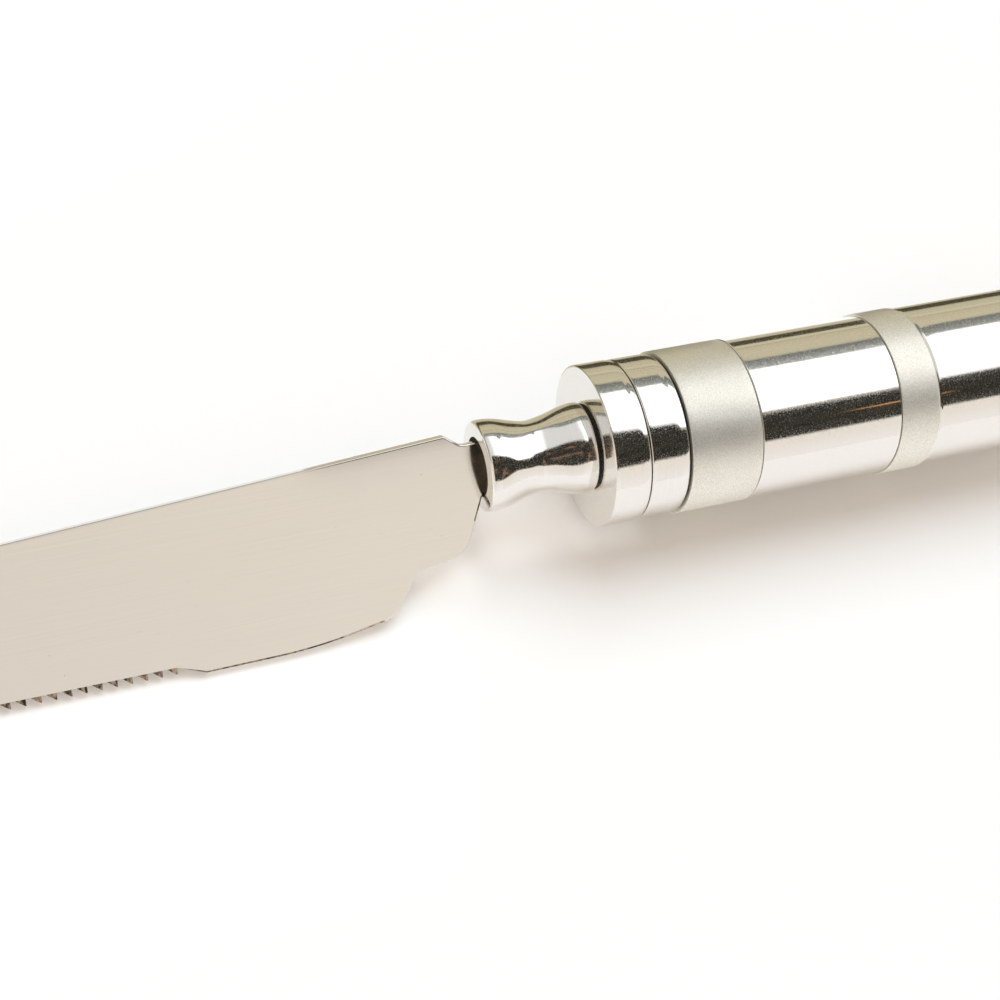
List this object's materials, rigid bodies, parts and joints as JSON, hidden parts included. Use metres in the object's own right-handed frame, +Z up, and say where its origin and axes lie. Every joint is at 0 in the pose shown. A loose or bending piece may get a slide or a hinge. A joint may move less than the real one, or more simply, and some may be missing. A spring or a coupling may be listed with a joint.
{
  "type": "challah knife",
  "caption": "Serrated bread knife for challah: flat stainless blade with a stepped heel in a waisted turned neck, on a round handle of stacked polished and satin aluminium rings.",
  "frame": {"origin": "centre of the footprint on the table that the knife lies on", "axes": "+X along the handle axis towards the tail, +Z up, the blade's front face looks towards -Y and up"},
  "size_m": [0.3176, 0.0318, 0.0255],
  "materials": {
    "blade_steel": "stainless sheet, soft mirror polish",
    "polished_aluminium": "turned and buffed to a mirror",
    "satin_aluminium": "bead-blasted and clear anodised",
    "plain_steel": "turned, unpolished",
    "black_fibre": "black fibre washer",
    "dark_filler": "dark cured filler"
  },
  "bodies": {
    "root": {"blade": "blade_steel", "neck": "polished_aluminium", "tang_bond": "dark_filler", "neck_washer": "black_fibre", "front_ring": "polished_aluminium", "second_ring": "polished_aluminium", "front_spacer": "black_fibre", "front_satin_ring": "satin_aluminium", "front_sleeve": "polished_aluminium", "satin_band": "satin_aluminium", "rear_sleeve": "polished_aluminium", "rear_satin_ring": "satin_aluminium", "rear_spacer": "black_fibre", "rear_ring": "polished_aluminium", "tail_cap": "polished_aluminium", "core_tube": "satin_aluminium", "front_bush": "plain_steel", "rear_bush": "plain_steel", "tie_rod": "plain_steel", "clamp_washer": "plain_steel", "clamp_nut": "plain_steel"}
  },
  "joints": []
}
